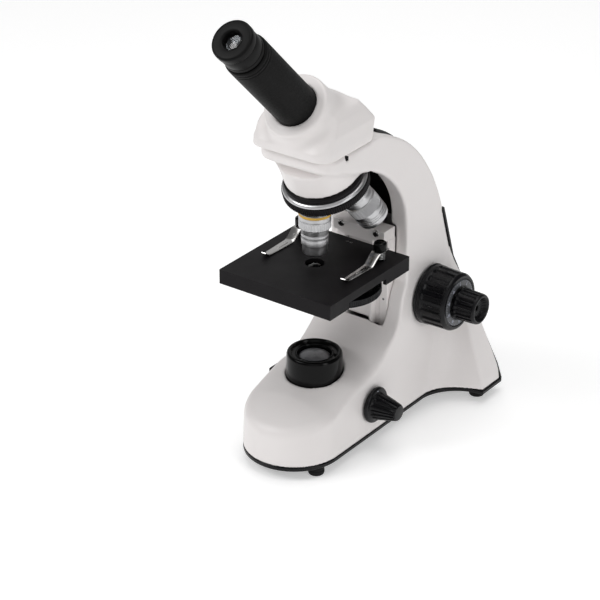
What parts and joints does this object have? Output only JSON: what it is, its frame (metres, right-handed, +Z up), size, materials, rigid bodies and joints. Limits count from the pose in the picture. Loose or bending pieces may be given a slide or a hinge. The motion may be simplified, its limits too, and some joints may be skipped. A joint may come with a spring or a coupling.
{
  "type": "microscope",
  "caption": "Upright student microscope: inclined eyepiece tube, tilted objective turret, square stage with clips, coaxial focus knobs and a lamp in the foot.",
  "frame": {"origin": "on the table, under the middle of the outline", "axes": "+Z up, +X to the user's right, -Y towards the eyepiece"},
  "size_m": [0.151, 0.2314, 0.3302],
  "materials": {
    "painted_white": "satin, slightly warm white enamel",
    "black_plastic": "satin moulded",
    "black_gloss": "gloss",
    "black_metal": "fine satin black",
    "tube_black": "fine textured matt black",
    "eyepiece_black": "semi-matt",
    "rubber": "matt",
    "dial_grey": "satin",
    "satin_chrome": "satin turned",
    "polished_steel": "polished",
    "shaft_steel": "ground",
    "brass": "machined",
    "machined_aluminium": "machined",
    "colour_band": "enamel",
    "optical_glass": "polished",
    "frosted_lens": "frosted",
    "circuit_board": "satin",
    "battery_sleeve": "printed foil",
    "pot_metal": "plated"
  },
  "bodies": {
    "stand": {"stand_casting": "painted_white", "base_plate": "black_plastic", "rear_cover": "black_plastic", "battery_door": "black_plastic", "rubber_feet": "rubber", "base_plate_screws": "polished_steel", "lamp_housing": "black_gloss", "lamp_lens": "frosted_lens", "led_board": "circuit_board", "battery_holder": "black_plastic", "batteries": "battery_sleeve", "dimmer_potentiometer": "pot_metal", "switch_housing": "black_plastic", "guide_rails": "painted_white", "guide_frame": "painted_white", "guide_screws": "polished_steel", "shaft_bushes": "brass", "nosepiece_base": "black_gloss", "turret_axle_screw": "polished_steel"},
    "turret": {"turret_disc": "polished_steel", "turret_grip_ring": "black_metal", "objective_4x": "satin_chrome", "objective_10x": "satin_chrome", "objective_40x": "satin_chrome", "objective_bands": "colour_band", "objective_lenses": "optical_glass"},
    "head": {"head_housing": "painted_white", "head_prism": "optical_glass", "head_seat_ring": "machined_aluminium", "eyepiece_tube": "tube_black"},
    "eyepiece": {"eyepiece_barrel": "eyepiece_black", "eyepiece_cap": "eyepiece_black", "eye_lens": "optical_glass", "field_lens": "optical_glass"},
    "coarse_drive": {"coarse_knob_left": "black_plastic", "coarse_knob_right": "black_plastic", "dial_rings": "dial_grey", "coarse_sleeve": "shaft_steel", "coarse_pinion": "brass"},
    "fine_drive": {"fine_knob_left": "black_plastic", "fine_knob_right": "black_plastic", "fine_shaft": "shaft_steel"},
    "carriage": {"coarse_carriage": "machined_aluminium", "coarse_rack": "shaft_steel"},
    "stage": {"stage_bracket": "painted_white", "stage_plate": "black_metal", "stage_screws": "polished_steel", "condenser_mount": "black_metal", "condenser_lens": "optical_glass", "clip_posts": "black_metal", "clip_springs": "polished_steel", "diaphragm_pivot": "polished_steel"},
    "diaphragm": {"diaphragm_wheel": "black_plastic"},
    "clip_left": {"stage_clip_left": "polished_steel"},
    "clip_right": {"stage_clip_right": "polished_steel"},
    "dimmer": {"dimmer_knob": "black_plastic"},
    "rocker": {"power_rocker": "black_plastic"}
  },
  "joints": [
    {"name": "head_swivel", "type": "hinge", "parent": "stand", "child": "head", "pos_m": [0, -0.02048, 0.228], "axis": [0, 0, 1], "continuous": true},
    {"name": "eyepiece_slide", "type": "slide", "parent": "head", "child": "eyepiece", "axis": [0, -0.7071, 0.7071], "range_m": [0, 0.026]},
    {"name": "turret_spin", "type": "hinge", "parent": "stand", "child": "turret", "pos_m": [0, -0.02048, 0.2208], "axis": [0, 0.3584, -0.9336], "continuous": true},
    {"name": "coarse_focus", "type": "hinge", "parent": "stand", "child": "coarse_drive", "pos_m": [0, 0.06902, 0.087], "axis": [1, 0, 0], "range_deg": [-150, 10]},
    {"name": "coarse_slide", "type": "slide", "parent": "stand", "child": "carriage", "axis": [0, 0, 1], "range_m": [-0.012, 0.0008]},
    {"name": "fine_focus", "type": "hinge", "parent": "stand", "child": "fine_drive", "pos_m": [0, 0.06902, 0.087], "axis": [1, 0, 0], "range_deg": [-140, 140]},
    {"name": "fine_slide", "type": "slide", "parent": "carriage", "child": "stage", "axis": [0, 0, 1], "range_m": [-0.00048, 0.00048]},
    {"name": "diaphragm_spin", "type": "hinge", "parent": "stage", "child": "diaphragm", "pos_m": [0.012, -0.00848, 0.118], "axis": [0, 0, 1], "continuous": true},
    {"name": "clip_left_swing", "type": "hinge", "parent": "stage", "child": "clip_left", "pos_m": [-0.0323, 0.00862, 0.14], "axis": [0, 0, 1], "range_deg": [-20, 60]},
    {"name": "clip_right_swing", "type": "hinge", "parent": "stage", "child": "clip_right", "pos_m": [0.0323, 0.00862, 0.14], "axis": [0, 0, 1], "range_deg": [-60, 20]},
    {"name": "dimmer_turn", "type": "hinge", "parent": "stand", "child": "dimmer", "pos_m": [0.036, -0.00048, 0.0315], "axis": [1, 0, 0], "range_deg": [0, 280]},
    {"name": "rocker_switch", "type": "hinge", "parent": "stand", "child": "rocker", "pos_m": [-0.0345, -0.01748, 0.038], "axis": [0, 1, 0], "range_deg": [-10, 0]}
  ],
  "couplings": [
    {"joint": "coarse_focus", "follows": "coarse_slide", "rad_per_m": 217.39},
    {"joint": "fine_focus", "follows": "fine_slide", "rad_per_m": 5000}
  ]
}
